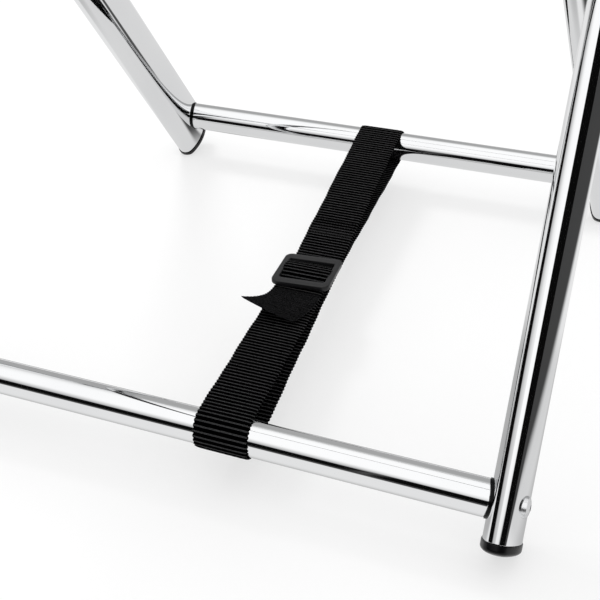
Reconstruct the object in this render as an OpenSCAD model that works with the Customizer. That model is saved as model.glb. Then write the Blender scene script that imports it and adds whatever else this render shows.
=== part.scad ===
// Folding cross-leg stand: two oval-tube frames on a pivot, held open by an adjustable webbing strap.
// Origin on the floor, midway between the feet; X runs along the bars, the outer frame's lower bar is at -Y.

/* [Leg tube] */
// Thickness of the oval leg tube, along X
tube_t = 24; // [20:1:30]
// Depth of the oval leg tube, across the fold
tube_d = 48; // [40:1:60]
// Radius of the tube's two narrow ends
tube_tip_r = 8; // [6:0.5:9]
// Wall thickness of every tube
wall = 1.5; // [1:0.1:2]
// Length of a leg tube
leg_len = 770; // [600:5:900]

/* [Frames] */
// Lean of each frame from the vertical, in degrees
lean = 35.7; // [25:0.1:40]
// Distance between the two outer leg centres
outer_span = 465; // [400:1:600]
// Gap between an outer leg and the inner leg beside it
leg_gap = 3; // [2:0.5:6]
// Height of the pivot above the floor
pivot_h = 330; // [329:0.5:331]

/* [Crossbars] */
// Outer diameter of a crossbar
bar_dia = 25; // [20:1:30]
// Distance of a crossbar's axis from the tube's end
bar_inset = 24.5; // [22:0.5:40]
// Offset of a crossbar from the leg's centre line, away from the other frame
bar_offset = 6.5; // [0:0.5:8]
// Thickness of the shaped collar between a crossbar and a leg
collar_t = 1.5; // [1:0.5:4]
// Outer diameter of the collar
collar_dia = 26; // [25.5:0.5:32]

/* [Fasteners] */
// Diameter of a frame screw
screw_dia = 6; // [5:0.5:8]
// Diameter of a frame screw's head
screw_head_dia = 14; // [12:0.5:16]
// Diameter of the pivot bolt
pivot_dia = 8; // [6:0.5:10]

/* [End caps] */
// Height of a cap's straight side
cap_side = 6; // [4:0.5:8]
// Rise of a cap's crowned face
cap_crown = 3; // [1:0.5:4]
// How far a cap stands proud of the tube
cap_lip = 0.5; // [0.2:0.1:1]

/* [Strap] */
// Width of the webbing
web_w = 40; // [30:1:50]
// Thickness of the webbing
web_t = 1.8; // [1:0.1:2.5]
// Centre of the strap on the outer frame's bar, along X
strap_x_near = 39; // [-100:1:100]
// Centre of the strap on the inner frame's bar, along X
strap_x_far = -1; // [-100:1:100]
// Centre of the buckle, along Y
buckle_y = -24; // [-120:1:-24]
// Length of the buckle, along the strap
buckle_l = 46; // [38:1:46]
// Width of the buckle, across the strap
buckle_w = 47; // [46:1:60]
// Length of the loose tail beyond the buckle
tail_len = 54; // [30:1:90]

/* [Hidden] */
$fn = 96;
chrome = [0.82, 0.83, 0.85];
black = [0.05, 0.05, 0.055];
steel = [0.55, 0.56, 0.58];

outer_x = outer_span / 2;
inner_x = outer_x - tube_t - leg_gap;
bar_along = leg_len / 2 - bar_inset;      // pivot to crossbar axis, along the leg
side_r = oval_side_r();
bar_y = bar_along * sin(lean) + bar_offset * cos(lean);
bar_z = pivot_h - bar_along * cos(lean) + bar_offset * sin(lean);

running = 0.05;                           // radial clearance of a turning fit
wrap_gap = 0.3;                           // webbing to bar
head_t = 2;                               // screw head thickness
head_seat = 0.3;                          // saddle washer, over the tube's crown
plug_len = 20;                            // threaded plug inside a crossbar
cope_x = 7.5;                             // bar's uncut end, from the leg's centre
cap_plug = 12;                            // cap's plug inside the leg
wrap_r = bar_dia / 2 + wrap_gap + web_t / 2;
layer_gap = 0.4;                          // between the strap's layers where they meet
strap_slope = (strap_x_far - strap_x_near) / (2 * bar_y);
ply_gap = 0.3;                            // between plies of webbing, and webbing and buckle
buckle_t = 4.5;
buckle_rail = 5.5;
sewn_from = 22;                           // sewn-back end of the webbing, from mid span
sewn_to = 62;

// Side radius of the four-arc oval that is tube_t by tube_d with tips of tube_tip_r
function oval_side_r() =
    let (a = tube_t / 2, c = tube_d / 2 - tube_tip_r)
    (tube_tip_r * tube_tip_r - a * a - c * c) / (2 * (tube_tip_r - a));

// Oval section grown by g: two wide side arcs and two tips, tangent where they meet
module oval(g = 0) {
    side_c = side_r - tube_t / 2;
    tip_c = tube_d / 2 - tube_tip_r;
    join_y = tip_c + (tube_tip_r + g) * tip_c / (side_r - tube_tip_r);
    union() {
        intersection() {
            translate([-side_c, 0]) circle(r = side_r + g, $fn = 240);
            translate([side_c, 0]) circle(r = side_r + g, $fn = 240);
            square([tube_t + 4, 2 * join_y], center = true);
        }
        for (s = [-1, 1])
            intersection() {
                translate([0, s * tip_c]) circle(r = tube_tip_r + g);
                translate([0, s * (join_y + tube_tip_r)])
                    square([tube_t, 2 * tube_tip_r], center = true);
            }
    }
}

// Frame coordinates: leg along Z from the pivot, bars towards -Y at the foot and +Y at the top
module outer_frame() {
    translate([0, 0, pivot_h]) rotate([-lean, 0, 0]) children();
}

module inner_frame() {
    mirror([0, 1, 0]) outer_frame() children();
}

module along_x(x, y, z) {
    translate([x, y, z]) rotate([0, 90, 0]) children();
}

module leg(x, pivot_bore_r) {
    color(chrome) difference() {
        translate([x, 0, -leg_len / 2]) linear_extrude(leg_len) difference() {
            oval();
            oval(-wall);
        }
        for (s = [-1, 1])
            along_x(x, s * bar_offset, s * bar_along)
                cylinder(r = screw_dia / 2 + 0.1, h = 2 * tube_t, center = true);
        along_x(x, 0, 0) cylinder(r = pivot_bore_r, h = 2 * tube_t, center = true);
    }
}

// Bar with both ends coped to the legs; s is -1 for the bar by the feet and 1 for the bar at the top
module crossbar(leg_x, s) {
    half = leg_x - cope_x;
    color(chrome) difference() {
        along_x(0, s * bar_offset, s * bar_along) difference() {
            cylinder(r = bar_dia / 2, h = 2 * half, center = true);
            cylinder(r = bar_dia / 2 - wall, h = 2 * half + 2, center = true);
        }
        for (side = [-1, 1])
            translate([side * leg_x, 0, 0]) linear_extrude(2 * leg_len, center = true)
                oval(collar_t);
    }
}

// Black collar of even thickness, bent round the oval leg between it and the coped bar
module collars(leg_x, s) {
    color(black) for (side = [-1, 1])
        difference() {
            intersection() {
                along_x(side * (leg_x - cope_x - 2), s * bar_offset, s * bar_along)
                    cylinder(r = collar_dia / 2, h = 18, center = true);
                translate([side * leg_x, 0, 0]) linear_extrude(2 * leg_len, center = true)
                    oval(collar_t);
            }
            along_x(side * leg_x, s * bar_offset, s * bar_along)
                cylinder(r = screw_dia / 2 + 0.1, h = 3 * tube_t, center = true);
            translate([side * leg_x, 0, 0]) linear_extrude(2 * leg_len, center = true) oval();
        }
}

module bar_plugs(leg_x) {
    half = leg_x - tube_t / 2 - collar_t;
    color(steel) for (side = [-1, 1], s = [-1, 1])
        along_x(side * (half - plug_len / 2), s * bar_offset, s * bar_along) difference() {
            cylinder(r = bar_dia / 2 - wall, h = plug_len, center = true);
            cylinder(r = screw_dia / 2, h = plug_len + 2, center = true);
        }
}

// Low crowned head with a hexagon socket, seat at z = 0
module head(r, socket_r) {
    crown_r = 2.4 * r;
    difference() {
        intersection() {
            cylinder(r = r, h = head_t);
            translate([0, 0, head_t - crown_r]) sphere(r = crown_r, $fn = 144);
        }
        translate([0, 0, head_t - 1.4]) cylinder(r = socket_r, h = head_t, $fn = 6);
    }
}

module screws(leg_x) {
    seat = leg_x + tube_t / 2 + head_seat;
    reach = tube_t + head_seat + collar_t + plug_len - 4;
    color(steel) for (side = [-1, 1], s = [-1, 1])
        translate([side * seat, s * bar_offset, s * bar_along]) rotate([0, side * 90, 0]) {
            head(screw_head_dia / 2, 2.3);
            translate([0, 0, -reach]) cylinder(r = screw_dia / 2 - 0.02, h = reach);
        }
}

// Washers with a flat face outside and the tube's curve inside
module saddle_washers(leg_x, y, z, r, bore_r, tint = black) {
    color(tint) for (side = [-1, 1])
        difference() {
            along_x(side * (leg_x + tube_t / 2 + head_seat - 2), y, z)
                cylinder(r = r, h = 4, center = true);
            along_x(side * leg_x, y, z) cylinder(r = bore_r, h = 3 * tube_t, center = true);
            translate([side * leg_x, 0, 0]) linear_extrude(2 * leg_len, center = true) oval();
        }
}

// End cap: plug inside the tube, proud side and crowned face; end is -1 at the foot, 1 at the top
module end_cap(x, end) {
    translate([x, 0, end * leg_len / 2]) mirror([0, 0, end < 0 ? 1 : 0]) {
        intersection() {
            linear_extrude(cap_side + cap_crown) oval(cap_lip);
            translate([0, 0, cap_side + cap_crown - 70]) rotate([0, 90, 0])
                cylinder(r = 70, h = 2 * tube_t, center = true, $fn = 240);
            translate([0, 0, cap_side + cap_crown - 26]) rotate([90, 0, 0])
                cylinder(r = 26, h = 2 * tube_d, center = true, $fn = 180);
        }
        translate([0, 0, -cap_plug]) linear_extrude(cap_plug) difference() {
            oval(-wall - 0.1);
            oval(-wall - 2.1);
        }
    }
}

// Foot caps are trimmed level with the floor
module foot_cap(x, inner = false) {
    color(black) difference() {
        if (inner) inner_frame() end_cap(x, -1);
        else outer_frame() end_cap(x, -1);
        translate([-500, -500, -50]) cube([1000, 1000, 50]);
    }
}

module top_cap(x) {
    color(black) end_cap(x, 1);
}

module pivot_bolt(side) {
    seat = outer_x + tube_t / 2 + head_seat;
    reach = 2 * tube_t + leg_gap + head_seat + 7.5;
    color(steel) outer_frame() translate([side * seat, 0, 0]) rotate([0, side * 90, 0]) {
        head(8, 3);
        translate([0, 0, -reach]) cylinder(r = pivot_dia / 2, h = reach);
    }
}

module pivot_spacers() {
    t = leg_gap - 0.1;
    color(black) outer_frame() for (side = [-1, 1])
        along_x(side * (outer_x - tube_t / 2 - t / 2), 0, 0) difference() {
            cylinder(r = 9, h = t, center = true);
            cylinder(r = pivot_dia / 2 + running, h = t + 1, center = true);
        }
}

// Domed lock nuts on the inner side of the inner legs
module pivot_nuts() {
    face = inner_x - tube_t / 2 - 0.15;
    color(steel) outer_frame() for (side = [-1, 1])
        translate([side * face, 0, 0]) rotate([0, -side * 90, 0]) difference() {
            union() {
                cylinder(r = 7.5, h = 5.5, $fn = 6);
                intersection() {
                    cylinder(r = 6.2, h = 9.5);
                    translate([0, 0, 3]) sphere(r = 6.9);
                }
            }
            translate([0, 0, -1]) cylinder(r = pivot_dia / 2, h = 8.6);
        }
}

module pivot_sleeves() {
    color(steel) inner_frame() for (side = [-1, 1])
        along_x(side * inner_x, 0, 0) difference() {
            cylinder(r = 6, h = tube_t - 0.4, center = true);
            cylinder(r = pivot_dia / 2 + running, h = tube_t + 1, center = true);
        }
}

// Strap. A station is [y, z, normal_y, normal_z]; its X follows the strap's slant.
function strap_x(y) = strap_x_near + strap_slope * (y + bar_y);

function sweep_points(st) = [
    for (p = st, k = [[-1, 1], [1, 1], [1, -1], [-1, -1]])
        [strap_x(p[0]) + k[0] * web_w / 2,
         p[0] + k[1] * p[2] * web_t / 2,
         p[1] + k[1] * p[3] * web_t / 2]
];

function sweep_faces(n) = concat(
    [[3, 2, 1, 0]],
    [for (i = [0:n - 2], k = [0:3])
        [4 * i + k, 4 * i + (k + 1) % 4, 4 * i + 4 + (k + 1) % 4, 4 * i + 4 + k]],
    [[4 * n - 4, 4 * n - 3, 4 * n - 2, 4 * n - 1]]
);

module web(st) {
    color(black) polyhedron(points = sweep_points(st), faces = sweep_faces(len(st)), convexity = 4);
}

// Hairpin round a bar whose open end meets the other half at mid span; dir is 1 from -Y, -1 from +Y
function hairpin(dir) =
    let (
        meet_z = (web_t + layer_gap) / 2,
        d = sqrt(bar_y * bar_y + meet_z * meet_z),
        touch = atan2(meet_z, bar_y) + acos(wrap_r / d),
        steps = 24,
        arc = [for (i = [0:steps]) let (a = touch + (360 - 2 * touch) * i / steps)
            [dir * (-bar_y + wrap_r * cos(a)), bar_z + wrap_r * sin(a), dir * cos(a), sin(a)]],
        end_y = -dir * 0.1,
        first = [end_y, bar_z + meet_z, dir * cos(touch), sin(touch)],
        last = [end_y, bar_z - meet_z, dir * cos(touch), -sin(touch)],
        path = concat([first], arc, [last])
    ) dir > 0 ? path : [for (i = [len(path) - 1:-1:0]) path[i]];

// Height of the strap's upper layer, mid thickness
function upper_z(y) =
    bar_z + (web_t + layer_gap) / 2 + (wrap_r - (web_t + layer_gap) / 2) * abs(y) / bar_y;

// Webbing folded back under the far half's upper layer and sewn to it
module strap_sewn_end() {
    drop = web_t + ply_gap;
    web([for (y = [sewn_from, sewn_to]) [y, upper_z(y) - drop, 0, 1]]);
}

// Loose tail: leaves the buckle along the strap and curls up
module strap_tail() {
    curl_r = 200;
    lie = atan((wrap_r - (web_t + layer_gap) / 2) / bar_y);
    flat = 10;
    start_y = buckle_y - buckle_l / 2 + buckle_rail + 2;
    rise = web_t + ply_gap;
    steps = 12;
    bend = (tail_len - flat) / curl_r * 180 / PI;
    base_z = upper_z(start_y - flat) + rise;
    run = [[start_y, upper_z(start_y) + rise, 0, 1]];
    curl = [for (i = [0:steps]) let (a = lie + bend * i / steps)
        [start_y - flat - curl_r * (sin(a) - sin(lie)), base_z + curl_r * (cos(lie) - cos(a)),
         sin(a), cos(a)]];
    path = concat(run, curl);
    web([for (i = [len(path) - 1:-1:0]) path[i]]);
}

module rounded_slab(l, w, r) {
    offset(r = r) square([w - 2 * r, l - 2 * r], center = true);
}

// Slide buckle: rounded frame with a low centre bar
module slide_buckle() {
    slant = atan(-strap_slope);
    pitch = atan(wrap_r / bar_y);
    lift = 1.5 * web_t + 2 * ply_gap;
    slot_w = buckle_w - 2 * buckle_rail + 1;
    color(black)
        translate([strap_x(buckle_y), buckle_y, upper_z(buckle_y) + lift])
        rotate([-pitch, 0, 0]) rotate([0, 0, slant]) {
            linear_extrude(buckle_t) difference() {
                rounded_slab(buckle_l, buckle_w, 5);
                rounded_slab(buckle_l - 2 * buckle_rail, slot_w, 2);
            }
            translate([-slot_w / 2 - 1, -2.5, 0.4]) cube([slot_w + 2, 5, 2.2]);
        }
}

outer_frame() leg(-outer_x, pivot_dia / 2 + running);  // outer_leg_left
outer_frame() leg(outer_x, pivot_dia / 2 + running);  // outer_leg_right
outer_frame() crossbar(outer_x, -1);  // outer_lower_bar
outer_frame() crossbar(outer_x, 1);  // outer_upper_bar
outer_frame() collars(outer_x, -1);  // outer_lower_collars
outer_frame() collars(outer_x, 1);  // outer_upper_collars
outer_frame() bar_plugs(outer_x);  // outer_bar_plugs
outer_frame() screws(outer_x);  // outer_screws
outer_frame() for (s = [-1, 1])  // outer_screw_washers
        saddle_washers(outer_x, s * bar_offset, s * bar_along, 7.2, screw_dia / 2 + 0.1,
                       steel);
foot_cap(-outer_x);  // outer_foot_left
foot_cap(outer_x);  // outer_foot_right
outer_frame() top_cap(-outer_x);  // outer_top_cap_left
outer_frame() top_cap(outer_x);  // outer_top_cap_right
pivot_bolt(-1);  // pivot_bolt_left
pivot_bolt(1);  // pivot_bolt_right
pivot_spacers();
pivot_nuts();
outer_frame() saddle_washers(outer_x, 0, 0, 8.6, pivot_dia / 2 + running);  // pivot_washers
inner_frame() leg(-inner_x, 6.02);  // inner_leg_left
inner_frame() leg(inner_x, 6.02);  // inner_leg_right
inner_frame() crossbar(inner_x, -1);  // inner_lower_bar
inner_frame() crossbar(inner_x, 1);  // inner_upper_bar
inner_frame() collars(inner_x, -1);  // inner_lower_collars
inner_frame() collars(inner_x, 1);  // inner_upper_collars
inner_frame() bar_plugs(inner_x);  // inner_bar_plugs
inner_frame() screws(inner_x);  // inner_screws
inner_frame() for (s = [-1, 1])  // inner_screw_washers
        saddle_washers(inner_x, s * bar_offset, s * bar_along, 7.2, screw_dia / 2 + 0.1,
                       steel);
foot_cap(-inner_x, true);  // inner_foot_left
foot_cap(inner_x, true);  // inner_foot_right
inner_frame() top_cap(-inner_x);  // inner_top_cap_left
inner_frame() top_cap(inner_x);  // inner_top_cap_right
pivot_sleeves();
web(hairpin(1));  // strap_near_half
web(hairpin(-1));  // strap_far_half
strap_sewn_end();
strap_tail();
slide_buckle();
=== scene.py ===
"""Folding chrome stand with a webbing strap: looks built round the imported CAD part."""
import math

import bpy
from mathutils import Matrix, Vector


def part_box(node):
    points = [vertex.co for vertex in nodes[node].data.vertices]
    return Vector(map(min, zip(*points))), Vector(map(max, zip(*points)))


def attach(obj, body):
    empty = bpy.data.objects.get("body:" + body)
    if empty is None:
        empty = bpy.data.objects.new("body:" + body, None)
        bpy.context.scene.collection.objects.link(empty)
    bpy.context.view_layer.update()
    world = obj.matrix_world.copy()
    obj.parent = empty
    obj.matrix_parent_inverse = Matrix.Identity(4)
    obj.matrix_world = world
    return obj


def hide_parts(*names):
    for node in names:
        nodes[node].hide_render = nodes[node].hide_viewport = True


MM = 0.001
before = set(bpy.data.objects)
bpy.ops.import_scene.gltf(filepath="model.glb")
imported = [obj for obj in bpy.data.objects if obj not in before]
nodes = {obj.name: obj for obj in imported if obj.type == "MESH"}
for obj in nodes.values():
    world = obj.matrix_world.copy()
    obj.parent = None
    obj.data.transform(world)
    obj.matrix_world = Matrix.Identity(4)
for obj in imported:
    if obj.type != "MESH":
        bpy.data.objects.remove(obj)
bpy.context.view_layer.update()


def mid(node):
    lo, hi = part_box(node)
    return (Vector(lo) + Vector(hi)) / 2


# Sizes in mm, the part's own; places come from the frame
PIVOT_Z = mid("pivot_spacers").z / MM
BAR_Y = mid("inner_lower_bar").y / MM
BAR_Z = mid("inner_lower_bar").z / MM
LEAN = math.radians(35.7)
LEG_LEN = 770.0
TUBE_T, TUBE_D, TIP_R = 24.0, 48.0, 8.0      # oval tube: thickness, depth, radius of its tips
TIP_Y = TUBE_D / 2 - TIP_R
SIDE_R = (TIP_R ** 2 - (TUBE_T / 2) ** 2 - TIP_Y ** 2) / (2 * (TIP_R - TUBE_T / 2))
BAR_R = 12.5
BAR_ALONG, BAR_OFFSET = 360.5, 6.5           # a bar's place in its frame, along the leg and across
COLLAR_T = 1.5
EASE = 0.35                                  # eased edge at a tube's end
WEB_W, WEB_T, RIB = 40.0, 1.8, 3.7           # webbing: width, thickness, spacing of its ribs
WEB_GAP = 0.3                                # between plies of webbing


# ---------------------------------------------------------------- materials

def material(name, color, rough, metallic=0.0, **sockets):
    mat = bpy.data.materials.new(name)
    mat.use_nodes = True
    mat.diffuse_color = (*color, 1)
    shader = mat.node_tree.nodes["Principled BSDF"]
    shader.inputs["Base Color"].default_value = (*color, 1)
    shader.inputs["Roughness"].default_value = rough
    shader.inputs["Metallic"].default_value = metallic
    for socket, value in sockets.items():
        shader.inputs[socket.replace("_", " ")].default_value = value
    return mat


def add(mat, kind, **props):
    node = mat.node_tree.nodes.new(kind)
    for prop, value in props.items():
        setattr(node, prop, value)
    return node


def link(mat, out, socket):
    mat.node_tree.links.new(out, socket)


def to(mat, socket, out):
    """Link to a socket of the material's main shader."""
    link(mat, out, mat.node_tree.nodes["Principled BSDF"].inputs[socket])


def math_node(mat, operation, a, b=None):
    node = add(mat, "ShaderNodeMath", operation=operation)
    for i, value in enumerate((a, b)):
        if value is None:
            continue
        if isinstance(value, (int, float)):
            node.inputs[i].default_value = value
        else:
            link(mat, value, node.inputs[i])
    return node.outputs[0]


def times(mat, a, b):
    return math_node(mat, "MULTIPLY", a, b)


def plus(mat, a, b):
    return math_node(mat, "ADD", a, b)


def rest_of(mat, value):
    return math_node(mat, "SUBTRACT", 1.0, value)


def wave(mat, value, rate):
    """Humps from 0 to 1, one per pi of value times rate."""
    return math_node(mat, "ABSOLUTE", math_node(mat, "SINE", times(mat, value, rate)))


def noise(mat, scale, detail=4, rough=0.55, stretch=None):
    coords = add(mat, "ShaderNodeTexCoord").outputs["Object"]
    if stretch:
        mapping = add(mat, "ShaderNodeMapping")
        mapping.inputs["Scale"].default_value = stretch
        link(mat, coords, mapping.inputs["Vector"])
        coords = mapping.outputs["Vector"]
    texture = add(mat, "ShaderNodeTexNoise")
    texture.inputs["Scale"].default_value = scale
    texture.inputs["Detail"].default_value = detail
    texture.inputs["Roughness"].default_value = rough
    link(mat, coords, texture.inputs["Vector"])
    return texture.outputs["Fac"]


def span(mat, value, a, b, lo, hi, smooth=False):
    """Map value from a..b to lo..hi, clamped."""
    node = add(mat, "ShaderNodeMapRange")
    node.interpolation_type = "SMOOTHSTEP" if smooth else "LINEAR"
    link(mat, value, node.inputs["Value"])
    for socket, limit in (("From Min", a), ("From Max", b), ("To Min", lo), ("To Max", hi)):
        node.inputs[socket].default_value = limit
    return node.outputs["Result"]


def split(mat, vector):
    """A vector's x, y and z outputs."""
    node = add(mat, "ShaderNodeSeparateXYZ")
    link(mat, vector, node.inputs["Vector"])
    return node.outputs


def grey(mat, value, socket):
    """Feed one number to a colour socket."""
    rgb = add(mat, "ShaderNodeCombineColor")
    for channel in ("Red", "Green", "Blue"):
        link(mat, value, rgb.inputs[channel])
    link(mat, rgb.outputs[0], socket)


def bump(mat, height, strength, distance):
    node = add(mat, "ShaderNodeBump")
    node.inputs["Strength"].default_value = strength
    node.inputs["Distance"].default_value = distance
    link(mat, height, node.inputs["Height"])
    to(mat, "Normal", node.outputs["Normal"])


def tint(mat, value, dark, light):
    node = add(mat, "ShaderNodeMix", data_type="RGBA")
    node.inputs["A"].default_value = (*dark, 1)
    node.inputs["B"].default_value = (*light, 1)
    link(mat, value, node.inputs["Factor"])
    to(mat, "Base Color", node.outputs["Result"])


def chrome():
    mat = material("chrome_tube", (0.86, 0.865, 0.875), 0.035, 1.0)
    smear = noise(mat, 26, 5, 0.6, stretch=(1, 1, 0.35))
    to(mat, "Roughness", span(mat, smear, 0.35, 0.75, 0.022, 0.060))
    cloud = span(mat, noise(mat, 9, 3), 0.3, 0.7, 0, 1)
    tint(mat, cloud, (0.84, 0.845, 0.855), (0.88, 0.885, 0.89))
    bump(mat, noise(mat, 140, 2), 0.018, 0.0002)
    return mat


def plated():
    mat = material("plated_fastener", (0.80, 0.805, 0.815), 0.24, 1.0)
    to(mat, "Roughness", span(mat, noise(mat, 160, 4), 0.3, 0.7, 0.20, 0.32))
    tint(mat, noise(mat, 90, 3), (0.76, 0.765, 0.78), (0.86, 0.865, 0.87))
    bump(mat, noise(mat, 900, 2), 0.05, 0.0001)
    return mat


def steel():
    mat = material("plain_steel", (0.46, 0.465, 0.475), 0.34, 1.0)
    to(mat, "Roughness", span(mat, noise(mat, 300, 4, stretch=(8, 1, 1)), 0.3, 0.7, 0.26, 0.44))
    bump(mat, noise(mat, 700, 3, stretch=(10, 1, 1)), 0.08, 0.0002)
    return mat


def moulded(name, color, rough, coat, grain, shine):
    mat = material(name, color, rough, 0.0, Coat_Weight=coat, Coat_Roughness=0.08,
                   Specular_IOR_Level=shine)
    to(mat, "Roughness", span(mat, noise(mat, 55, 5), 0.3, 0.75, rough * 0.75, rough * 1.35))
    scuff = span(mat, noise(mat, 210, 6, 0.7), 0.62, 0.8, 0, 1)
    tint(mat, scuff, color, tuple(c * 1.8 + 0.002 for c in color))
    bump(mat, noise(mat, 1500, 3), grain, 0.0003)
    return mat


def webbing_material(name, ribbed):
    """Black webbing: ribs in the mesh, yarns in the bump; the colour carries painted highlights on yarn
    tops and rib crests and painted shade in the valleys, so the plain face shows fine painted highlight
    dots.
    """
    mat = material(name, (0.010, 0.010, 0.011), 0.60)
    uv = split(mat, add(mat, "ShaderNodeUVMap", uv_map="weave").outputs["UV"])
    across, along = uv["X"], uv["Y"]         # counted in yarns and in ribs
    if not ribbed:
        across = times(mat, across, 0.62)
    rows = 2.0 if ribbed else 1.7
    row = math_node(mat, "FLOOR", times(mat, along, rows))
    odd = times(mat, math_node(mat, "MODULO", row, 2.0), 0.5)
    yarn = wave(mat, plus(mat, across, odd), 2 * math.pi)
    weave = plus(mat, yarn, times(mat, wave(mat, along, 2 * rows * math.pi), 0.6))
    fuzz = noise(mat, 2600, 4, 0.7)
    bump(mat, plus(mat, weave, times(mat, fuzz, 0.9)), 0.60, 0.00045)
    # painted_glint is painted light: a painted highlight on the yarn tops from the weave and fuzz,
    # near-black painted shade elsewhere; it also sets the specular level below
    painted_glint = times(mat, span(mat, weave, 0.8, 1.55, 0.02, 1, True), span(mat, fuzz, 0.35, 0.65, 0.25, 1))
    if ribbed:
        # Ribbed face: the painted highlight is kept to the rib crests, and the valleys between them are
        # painted near-black as shade
        painted_glint = times(mat, painted_glint, span(mat, wave(mat, along, math.pi), 0.87, 1.0, 0.0, 1, True))
        tint(mat, painted_glint, (0.0004, 0.0004, 0.00045), (0.19, 0.19, 0.195))
    else:
        # Plain face: painted highlight dots on a face painted near-black between them
        painted_glint = span(mat, painted_glint, 0.34, 0.80, 0.0, 1.0, True)
        tint(mat, painted_glint, (0.0003, 0.0003, 0.0004), (0.042, 0.042, 0.044))
    to(mat, "Roughness", span(mat, fuzz, 0.3, 0.7, 0.50, 0.80))
    to(mat, "Specular IOR Level", span(mat, painted_glint, 0.0, 1.0, 0.0, 0.30 if ribbed else 0.12))
    return mat


CHROME = chrome()
PLATED = plated()
STEEL = steel()
CAP = moulded("black_cap_plastic", (0.0025, 0.0025, 0.0028), 0.24, 0.05, 0.05, 0.15)
COLLAR = moulded("black_collar_gloss", (0.0012, 0.0012, 0.0013), 0.16, 0.04, 0.02, 0.08)
WASHER = moulded("black_washer_plastic", (0.004, 0.004, 0.0042), 0.40, 0.0, 0.06, 0.15)
BUCKLE = moulded("black_buckle_satin", (0.0090, 0.0090, 0.0100), 0.36, 0.0, 0.10, 0.50)
WEB = webbing_material("webbing", True)
WEB_PLAIN = webbing_material("webbing_plain_face", False)
THREAD = moulded("black_thread", (0.010, 0.010, 0.0105), 0.70, 0.0, 0.20, 0.2)


# ---------------------------------------------------------------- mesh tools

def mesh_object(name, verts, faces, mat, smooth_angle, uv=None):
    """A smooth-shaded object from vertices in mm; edges sharper than smooth_angle stay sharp."""
    mesh = bpy.data.meshes.new(name)
    mesh.from_pydata([tuple(c * MM for c in v) for v in verts], [], faces)
    mesh.validate()
    mesh.update()
    obj = bpy.data.objects.new(name, mesh)
    bpy.context.scene.collection.objects.link(obj)
    obj.data.materials.append(mat)
    for polygon in mesh.polygons:
        polygon.use_smooth = True
    mesh.set_sharp_from_angle(angle=math.radians(smooth_angle))
    if uv:
        layer = mesh.uv_layers.new(name="weave")
        for loop in mesh.loops:
            layer.data[loop.index].uv = uv[loop.vertex_index]
    return obj


def ring_faces(rings, n):
    """Faces that join rings of n vertices each, with both ends closed."""
    faces = []
    for i in range(rings - 1):
        for k in range(n):
            a, b = i * n + k, i * n + (k + 1) % n
            faces.append((a, b, b + n, a + n))
    faces.append(tuple(reversed(range(n))))
    faces.append(tuple(range((rings - 1) * n, rings * n)))
    return faces


def loft(name, rings, mat, smooth_angle):
    verts = [v for ring in rings for v in ring]
    return mesh_object(name, verts, ring_faces(len(rings), len(rings[0])), mat, smooth_angle)


def oval(per_side=56, per_tip=28):
    """The leg tube's section: two wide side arcs and two tips, counter-clockwise in x, y."""
    turn = math.asin(TIP_Y / (SIDE_R - TIP_R))
    pts = []
    for sign in (1, -1):
        for i in range(per_side):
            g = -turn + 2 * turn * i / per_side
            x = -(SIDE_R - TUBE_T / 2) + SIDE_R * math.cos(g)
            pts.append((sign * x, sign * SIDE_R * math.sin(g)))
        for i in range(per_tip):
            g = turn + (math.pi - 2 * turn) * i / per_tip
            pts.append((sign * TIP_R * math.cos(g), sign * (TIP_Y + TIP_R * math.sin(g))))
    return pts


def oval_half(y, grow):
    """Half width of the leg's oval, grown evenly, at y across it."""
    y = abs(y)
    if y < TIP_Y + (TIP_R + grow) * TIP_Y / (SIDE_R - TIP_R):
        return TUBE_T / 2 - SIDE_R + math.sqrt((SIDE_R + grow) ** 2 - y * y)
    return math.sqrt(max(0.0, (TIP_R + grow) ** 2 - (y - TIP_Y) ** 2))


# ---------------------------------------------------------------- frames

def frame_point(x, y, z, inner):
    """From a frame's own coordinates, leg along z from the pivot, to the stand's."""
    yy = y * math.cos(LEAN) + z * math.sin(LEAN)
    zz = -y * math.sin(LEAN) + z * math.cos(LEAN)
    return (x, -yy if inner else yy, zz + PIVOT_Z)


def make_leg(node, inner):
    """Leg tube with eased ends; rings close to each end keep the long faces' shading straight."""
    x0 = mid(node).x / MM
    half = LEG_LEN / 2
    section = oval()
    steps = (EASE, 0.6, 1.2, 4.0, 20.0, 80.0)
    stations = [(-half, -EASE)] + [(-half + d, 0) for d in steps] + [(0, 0)]
    stations += [(half - d, 0) for d in reversed(steps)] + [(half, -EASE)]
    rings = []
    for z, grow in stations:
        ring = []
        for px, py in section:
            k = 1 + grow / math.hypot(px, py)
            ring.append(frame_point(x0 + px * k, py * k, z, inner))
        rings.append(list(reversed(ring)) if inner else ring)
    o = loft(node + "_tube", rings, CHROME, 50)
    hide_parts(node)
    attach(o, "inner_frame" if inner else "outer_frame")


def make_bar(node, inner, level):
    """Crossbar with ends coped round the collars; level is -1 by the feet and 1 at the top."""
    leg_x = abs(mid(("inner" if inner else "outer") + "_leg_right").x) / MM
    segments = 144
    steps = [(0.0, -EASE), (EASE, 0.0), (0.7, 0.0), (1.4, 0.0), (5.0, 0.0), (40.0, 0.0)]
    rings = []
    for side, inward in ((-1, steps), (1, list(reversed(steps)))):
        for along, grow in inward:
            ring = []
            for k in range(segments):
                g = 2 * math.pi * k / segments
                across = level * BAR_OFFSET + BAR_R * math.cos(g)
                end = leg_x - oval_half(across, COLLAR_T + 0.02)
                r = BAR_R + grow
                ring.append(frame_point(side * (end - along), level * BAR_OFFSET + r * math.cos(g),
                                        level * BAR_ALONG + r * math.sin(g), inner))
            rings.append(list(reversed(ring)) if inner else ring)
    o = loft(node + "_tube", rings, CHROME, 50)
    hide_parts(node)
    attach(o, "inner_frame" if inner else "outer_frame")


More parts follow.
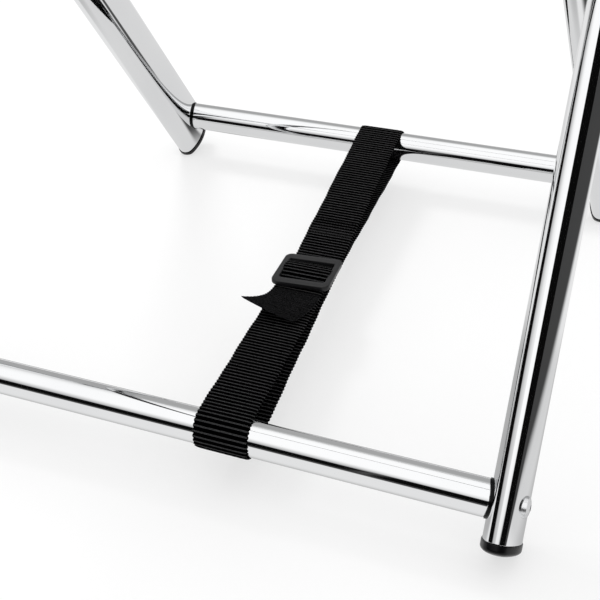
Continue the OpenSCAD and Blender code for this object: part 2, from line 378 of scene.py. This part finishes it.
def make_cap(node, inner, end):
    """End cap: plug, proud lip, short straight side and dome, flat where it meets the floor."""
    plug_len, plug_inset, lip, side, crown = 9.0, -2.4, 0.6, 4.2, 4.6
    x0 = mid(node).x / MM
    section = oval(per_side=64, per_tip=40)
    profile = [(-plug_len, plug_inset, 1.0), (-0.02, plug_inset, 1.0), (-0.02, 0.1, 1.0),
               (0.0, 0.45, 1.0)]
    profile += [(z, lip, 1.0) for z in (0.3, 0.7, 3.2, 3.8)]
    profile += [(side + crown * math.sin(g), lip, math.cos(g))
                for g in (0.08 + 0.115 * i for i in range(13))]
    rings = []
    for z, grow, scale in profile:
        ring = []
        for px, py in section:
            nx, ny = px / (TUBE_T / 2) ** 2, py / (TUBE_D / 2) ** 2
            size = math.hypot(nx, ny)
            p = frame_point(x0 + (px + nx / size * grow) * scale, (py + ny / size * grow) * scale,
                            end * (LEG_LEN / 2 + z), inner)
            ring.append((p[0], p[1], max(p[2], 0.0)))
        rings.append(ring)
    o = loft(node + "_dome", rings, CAP, 32)
    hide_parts(node)
    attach(o, "inner_frame" if inner else "outer_frame")


for side in ("left", "right"):
    make_leg("outer_leg_" + side, False)
    make_leg("inner_leg_" + side, True)
for which in ("outer", "inner"):
    for level in ("lower", "upper"):
        make_bar(f"{which}_{level}_bar", which == "inner", 1 if level == "upper" else -1)
for which, inner in (("outer", False), ("inner", True)):
    for side in ("left", "right"):
        make_cap(f"{which}_foot_{side}", inner, -1)
        make_cap(f"{which}_top_cap_{side}", inner, 1)

# Small parts keep their CAD mesh; the first key found in a node's name gives its look
LOOKS = [("collars", COLLAR), ("screw_washers", PLATED), ("washers", WASHER), ("spacers", WASHER),
         ("screws", PLATED), ("pivot_bolt", PLATED), ("pivot_nuts", PLATED), ("plugs", STEEL),
         ("sleeves", STEEL)]
for name, obj in nodes.items():
    for key, look in LOOKS:
        if key in name:
            obj.data.materials.clear()
            obj.data.materials.append(look)
            for polygon in obj.data.polygons:
                polygon.material_index = 0
            break


# ---------------------------------------------------------------- strap

STRAP_NEAR_X, STRAP_FAR_X = 39.0, -1.0       # where the strap's middle crosses each lower bar
WRAP_R = BAR_R + WEB_GAP + WEB_T / 2
SLOPE = (STRAP_FAR_X - STRAP_NEAR_X) / (2 * BAR_Y)
MEET_Z = (WEB_T + 0.4) / 2                   # half the plies' spacing at mid span


def strap_x(y):
    return STRAP_NEAR_X + SLOPE * (y + BAR_Y)


def upper_z(y):
    """Height of the strap's upper ply, mid thickness."""
    return BAR_Z + MEET_Z + (WRAP_R - MEET_Z) * abs(y) / BAR_Y


def resample(points, step):
    """Even stations along a y, z line: (s, y, z, normal y, normal z)."""
    lengths = [0.0]
    for a, b in zip(points, points[1:]):
        lengths.append(lengths[-1] + math.dist(a, b))
    total = lengths[-1]
    count = max(2, round(total / step))
    even, j = [], 0
    for i in range(count + 1):
        s = total * i / count
        while j < len(points) - 2 and lengths[j + 1] < s:
            j += 1
        f = (s - lengths[j]) / (lengths[j + 1] - lengths[j])
        even.append((s, *(points[j][k] + (points[j + 1][k] - points[j][k]) * f for k in (0, 1))))
    stations = []
    for i, (s, y, z) in enumerate(even):
        a, b = even[max(0, i - 1)], even[min(len(even) - 1, i + 1)]
        ty, tz = b[1] - a[1], b[2] - a[2]
        size = math.hypot(ty, tz)
        stations.append((s, y, z, -tz / size, ty / size))
    return stations


def webbing(name, points, pressed=None, lift=None, plain_from=None):
    """A ply of ribbed webbing along a y, z line. Ribs run across it and scallop its edges.

    pressed is a y range with flattened ribs, lift moves points by (dx, dz), and the ply
    shows its plain face beyond the length plain_from.
    """
    cols, yarn = 22, 1.05
    stations = resample(points, 0.46)
    total = stations[-1][0]
    verts, uvs = [], []
    profile = [-1 + 2 * k / cols for k in range(cols + 1)]
    n = 2 * (cols + 1)
    for s, y, z, ny, nz in stations:
        rib = abs(math.sin(math.pi * s / RIB)) ** 0.75
        deep = 0.25 if plain_from and s > plain_from else 0.60
        if pressed and pressed[0] < y < pressed[1]:
            deep = 0.20
        wander = 0.22 * math.sin(s * 0.083 + 0.7) + 0.14 * math.sin(s * 0.217)
        wander *= min(1, s / 12, (total - s) / 12)
        for face in (1, -1):
            for w in (profile if face == 1 else reversed(profile)):
                edge = (1 - abs(w) ** 10) ** 0.5
                t = (WEB_T / 2 - deep + deep * rib) * (0.35 + 0.65 * edge) * face
                t += 0.045 * math.sin(2 * math.pi * (w * WEB_W / 2 / 2.9) + math.pi * math.floor(s / RIB))
                x = strap_x(y) + w * (WEB_W / 2 - 0.85 + 0.85 * rib) + wander
                dx, dz = lift(s, total, w) if lift else (0.0, 0.0)
                verts.append((x + dx, y + ny * t, z + nz * t + dz))
                uvs.append((w * WEB_W / 2 / yarn, s / RIB))
    o = mesh_object(name, verts, ring_faces(len(stations), n), WEB, 75, uvs)
    if plain_from:
        o.data.materials.append(WEB_PLAIN)
        for polygon in o.data.polygons:
            station = stations[min(polygon.index // n, len(stations) - 1)]
            polygon.material_index = int(station[0] > plain_from)
    return o


def hairpin(side):
    """Out along the top from mid span, round the bar, and back below; side is -1 near, 1 far."""
    touch = math.atan2(MEET_Z, BAR_Y) + math.acos(WRAP_R / math.hypot(BAR_Y, MEET_Z))
    steps = 64
    pts = [(0.0, BAR_Z + MEET_Z)]
    for i in range(steps + 1):
        a = touch + (2 * math.pi - 2 * touch) * i / steps
        pts.append((side * (BAR_Y - WRAP_R * math.cos(a)), BAR_Z + WRAP_R * math.sin(a)))
    pts.append((0.0, BAR_Z - MEET_Z))
    return pts


SEWN_DROP = WEB_T + WEB_GAP
near = webbing("strap_near_webbing", hairpin(-1))
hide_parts("strap_near_half")
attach(near, "strap_near")
far = webbing("strap_far_webbing", hairpin(1), pressed=(38, 62))
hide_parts("strap_far_half")
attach(far, "strap_far")
end_ply = webbing("strap_sewn_ply", [(y, upper_z(y) - SEWN_DROP) for y in (20, 66)])
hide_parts("strap_sewn_end")
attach(end_ply, "strap_far")


# ---------------------------------------------------------------- buckle and tail

BUCKLE_Y, BUCKLE_L, BUCKLE_W, BUCKLE_T = -24.0, 46.0, 47.0, 4.5
RAIL, SIDE_RAIL = 7.2, 5.0
LIFT = 1.5 * WEB_T + 2 * WEB_GAP
PITCH = math.atan(WRAP_R / BAR_Y)
SLANT = math.atan(-SLOPE)
buckle_at = (Matrix.Translation((strap_x(BUCKLE_Y), BUCKLE_Y, upper_z(BUCKLE_Y) + LIFT))
             @ Matrix.Rotation(-PITCH, 4, "X") @ Matrix.Rotation(SLANT, 4, "Z"))


def rounded_outline(w, l, r, per=10):
    pts = []
    for cx, cy, a0 in ((1, 1, 0), (-1, 1, 90), (-1, -1, 180), (1, -1, 270)):
        for i in range(per + 1):
            a = math.radians(a0 + 90 * i / per)
            pts.append((cx * (w / 2 - r) + r * math.cos(a), cy * (l / 2 - r) + r * math.sin(a)))
    return pts


def buckle_section(edge):
    """Section of the frame as (outline, distance inwards, height); edge is the top's rounding."""
    def rounded(angles):
        return [(edge * (1 - math.cos(g)), BUCKLE_T - edge + edge * math.sin(g)) for g in angles]
    angles = (0.35, 0.8, 1.2, 1.57)
    section = [("outer", 0, edge), ("outer", 0, BUCKLE_T - edge)]
    section += [("outer", d, h) for d, h in rounded(angles)]
    section += [("inner", -d, h) for d, h in rounded(reversed(angles))]
    section += [("inner", 0, BUCKLE_T - edge), ("inner", 0, edge)]
    section += [("inner", -0.35 * edge, 0.35 * edge), ("inner", -edge, 0)]
    return section + [("outer", edge, 0), ("outer", 0.35 * edge, 0.35 * edge)]


def make_buckle():
    """Rounded frame with a low round bar across its middle."""
    outer = rounded_outline(BUCKLE_W, BUCKLE_L, 6.0)
    inner = rounded_outline(BUCKLE_W - 2 * SIDE_RAIL, BUCKLE_L - 2 * RAIL, 2.2)
    section = buckle_section(1.15)
    verts, faces = [], []
    for (ox, oy), (ix, iy) in zip(outer, inner):
        gap = math.hypot(ix - ox, iy - oy)
        ux, uy = (ix - ox) / gap, (iy - oy) / gap
        for outline, d, h in section:
            x, y = (ox, oy) if outline == "outer" else (ix, iy)
            verts.append(tuple(buckle_at @ Vector((x + ux * d, y + uy * d, h))))
    n, rings = len(section), len(outer)
    for i in range(rings):
        for k in range(n):
            a, b = i * n + k, i * n + (k + 1) % n
            c, d = ((i + 1) % rings) * n + (k + 1) % n, ((i + 1) % rings) * n + k
            faces.append((a, d, c, b))
    base = len(verts)
    half, segments = BUCKLE_W / 2 - SIDE_RAIL + 1.0, 20
    for x in (-half, half):
        for k in range(segments):
            g = 2 * math.pi * k / segments
            verts.append(tuple(buckle_at @ Vector((x, 2.3 * math.cos(g), 1.7 + 1.3 * math.sin(g)))))
    faces += [tuple(base + i for i in face) for face in ring_faces(2, segments)]
    o = mesh_object("slide_buckle_body", verts, faces, BUCKLE, 38)
    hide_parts("slide_buckle")
    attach(o, "strap_near")


make_buckle()


def smooth_line(pts, rounds=3):
    """Cut the corners of a line, its ends kept."""
    for _ in range(rounds):
        cut = [pts[0]]
        for a, b in zip(pts, pts[1:]):
            cut.append((a[0] * 0.75 + b[0] * 0.25, a[1] * 0.75 + b[1] * 0.25))
            cut.append((a[0] * 0.25 + b[0] * 0.75, a[1] * 0.25 + b[1] * 0.75))
        cut.append(pts[-1])
        pts = cut
    return pts


def tail_line():
    """From under the buckle's far rail, over its centre bar, under the near rail and out."""
    under = -WEB_T / 2
    route = [(20, under - 0.2), (16.5, under + 0.3),
             (14.0, 1.6), (10.5, 3.2), (7.0, 4.1), (3.0, 4.5), (0.0, 4.5),
             (-3.0, 4.2), (-7.0, 3.0), (-10.5, 1.2), (-13.5, -0.4),
             (-16, under - 0.2), (-23, under - 0.25), (-34, under - 0.1),
             (-50, under + 0.4), (-71, under + 1.4)]
    placed = [buckle_at @ Vector((0, along, height)) for along, height in route]
    return smooth_line([(p.y, p.z) for p in placed])


def curl(s, total, w):
    """The tail swings left and twists over its last part: its left corner lifts most."""
    part = 46
    k = max(0.0, (s - (total - part)) / part)
    left = (1 - w) / 2
    return (-8.0 * k * k - 3.0 * k ** 3 * left, k ** 1.7 * (13.0 * left ** 1.25 + 0.8))


tail = webbing("strap_tail_webbing", tail_line(), lift=curl, plain_from=48)
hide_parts("strap_tail")
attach(tail, "strap_near")


def stitches():
    """Rows of locked thread through the far half's upper ply."""
    rows, per_row, thread_r, length, rise = 6, 15, 0.3, 1.9, 0.34
    verts, faces = [], []
    for row in range(rows):
        y0 = 40.5 + row * 4.1
        slant = 0.5 if row % 2 else -0.5
        for i in range(per_row):
            x0 = -16.8 + i * 2.4
            base = len(verts)
            for a in range(5):
                f = a / 4
                y = y0 + slant * (f - 0.5) * 2
                z = upper_z(y) + WEB_T / 2 - 0.12 + rise * math.sin(math.pi * f)
                for k in range(6):
                    g = 2 * math.pi * k / 6
                    verts.append((strap_x(y) + x0 + length * f, y + thread_r * math.cos(g),
                                  z + thread_r * math.sin(g)))
            faces += [tuple(base + v for v in face) for face in ring_faces(5, 6)]
    o = mesh_object("strap_stitches", verts, faces, THREAD, 80)
    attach(o, "strap_far")


stitches()


# ---------------------------------------------------------------- stage, light, camera

def make_floor():
    """Pale floor, partly self-lit; mirrors see its own light and dark areas instead."""
    size, z = 40000.0, -0.05
    corners = [(-size, -size, z), (size, -size, z), (size, size, z), (-size, size, z)]
    mat = material("floor_white", (0.93, 0.93, 0.93), 0.85)
    o = mesh_object("floor", corners, [(0, 1, 2, 3)], mat, 40)
    tree = mat.node_tree
    place = split(mat, add(mat, "ShaderNodeNewGeometry").outputs["Position"])
    x, y = place["X"], place["Y"]

    # What mirrors see: bright inside and round the frame, dark far in front and to the right
    level = plus(mat, span(mat, y, -0.245, -0.20, 0.86, 0.44, True),
                 span(mat, y, -0.02, 0.08, 0.0, 0.30, True))
    level = plus(mat, level, span(mat, math_node(mat, "ABSOLUTE", x), 0.235, 0.30, 0.0, 0.26, True))
    level = math_node(mat, "MINIMUM", level, 0.86)
    level = times(mat, level, span(mat, y, -0.60, -0.44, 0.0, 1.0, True))
    level = times(mat, level, span(mat, x, 0.36, 0.48, 1.0, 0.0, True))

    # and a dark wedge behind the far bar, for the line along the far left leg
    across = plus(mat, x, 0.11)
    ahead = math_node(mat, "SUBTRACT", y, times(mat, across, 0.30))
    behind = math_node(mat, "SUBTRACT", y, times(mat, across, 0.36))
    wedge = times(mat, span(mat, ahead, 0.240, 0.250, 0.0, 1.0, True),
                  span(mat, behind, 0.268, 0.280, 1.0, 0.0, True))
    wedge = times(mat, wedge, span(mat, x, -0.20, -0.16, 0.0, 0.97, True))
    level = times(mat, level, rest_of(mat, wedge))

    glow = add(mat, "ShaderNodeEmission")
    grey(mat, level, glow.inputs["Color"])
    lift = add(mat, "ShaderNodeEmission")
    lift.inputs["Color"].default_value = (0.98, 0.98, 0.98, 1)
    soft = add(mat, "ShaderNodeMixShader")
    soft.inputs["Fac"].default_value = 0.62
    link(mat, tree.nodes["Principled BSDF"].outputs[0], soft.inputs[1])
    link(mat, lift.outputs[0], soft.inputs[2])
    mix = add(mat, "ShaderNodeMixShader")
    glossy = add(mat, "ShaderNodeLightPath").outputs["Is Glossy Ray"]
    link(mat, times(mat, glossy, 0.94), mix.inputs["Fac"])
    link(mat, soft.outputs[0], mix.inputs[1])
    link(mat, glow.outputs[0], mix.inputs[2])
    link(mat, mix.outputs[0], tree.nodes["Material Output"].inputs["Surface"])


def make_world():
    """Even white light; mirrors see a studio with black bands low in front and a grey back."""
    world = bpy.data.worlds.new("studio")
    bpy.context.scene.world = world
    world.use_nodes = True
    x, y, z = split(world, add(world, "ShaderNodeTexCoord").outputs["Generated"])
    turn = math_node(world, "ARCTAN2", x, times(world, y, -1.0))   # 0 towards -Y, positive to +X

    def band(value, lo, hi, soft=0.03):
        return times(world, span(world, value, lo - soft, lo + soft, 0, 1, True),
                     span(world, value, hi - soft, hi + soft, 1, 0, True))

    def blend(a, b, share):
        """Share of a, the rest of b."""
        return plus(world, times(world, a, share), times(world, b, rest_of(world, share)))

    floor_level = -0.25
    left = times(world, band(turn, -1.75, -0.25), band(z, floor_level, 0.34))
    middle = times(world, band(turn, -0.28, 0.56), band(z, floor_level, 0.40))
    right = times(world, band(turn, 0.53, 1.90), band(z, floor_level, 0.80))
    dark = math_node(world, "MAXIMUM", left, math_node(world, "MAXIMUM", middle, right))
    over_left = span(world, z, 0.34, 0.70, 0.55, 1.12, True)
    over_front = span(world, z, 0.40, 0.52, 0.88, 1.12, True)
    back_sky = span(world, z, 0.62, 0.90, 0.42, 1.12, True)
    front_sky = blend(over_front, over_left, band(turn, -0.18, 0.90, 0.08))
    in_front = span(world, math_node(world, "ABSOLUTE", turn), 1.45, 1.75, 1, 0, True)
    sky = blend(front_sky, back_sky, in_front)
    room = plus(world, times(world, sky, rest_of(world, dark)), 0.003)
    glossy = add(world, "ShaderNodeLightPath").outputs["Is Glossy Ray"]
    level = plus(world, times(world, room, glossy), times(world, 1.02, rest_of(world, glossy)))
    grey(world, level, world.node_tree.nodes["Background"].inputs["Color"])


def area(name, at, size, power):
    """Round soft light aimed at the strap's height over the middle, unseen by mirrors."""
    light = bpy.data.lights.new(name, "AREA")
    light.shape = "DISK"
    light.size = size
    light.energy = power
    obj = bpy.data.objects.new(name, light)
    bpy.context.scene.collection.objects.link(obj)
    obj.location = at
    obj.rotation_mode = "QUATERNION"
    obj.rotation_quaternion = (Vector((0, 0, 0.1)) - Vector(at)).to_track_quat("-Z", "Y")
    obj.visible_glossy = False


def make_camera():
    azimuth, elevation, roll = (math.radians(a) for a in (27.13, 32.12, -4.28))
    back = Vector((math.sin(azimuth) * math.cos(elevation), -math.cos(azimuth) * math.cos(elevation),
                   math.sin(elevation)))
    level_right = (-back).cross(Vector((0, 0, 1))).normalized()
    level_up = level_right.cross(-back)
    right = math.cos(roll) * level_right + math.sin(roll) * level_up
    up = -math.sin(roll) * level_right + math.cos(roll) * level_up
    pose = Matrix((right, up, back)).transposed().to_4x4()
    pose.translation = Vector((365.2, -829.7, 575.3 + BAR_Z)) * MM
    camera = bpy.data.cameras.new("camera")
    camera.sensor_width = 36.0
    camera.lens = 79.248
    camera.shift_x, camera.shift_y = 0.12, -0.07
    obj = bpy.data.objects.new("camera", camera)
    bpy.context.scene.collection.objects.link(obj)
    obj.matrix_world = pose
    bpy.context.scene.camera = obj


make_floor()
make_world()
area("key", (-1.1, 0.9, 1.7), 0.55, 13)
area("fill", (0.5, -0.5, 2.4), 2.4, 3)
make_camera()
bpy.context.scene.view_settings.view_transform = "Standard"
bpy.context.scene.view_settings.look = "None"
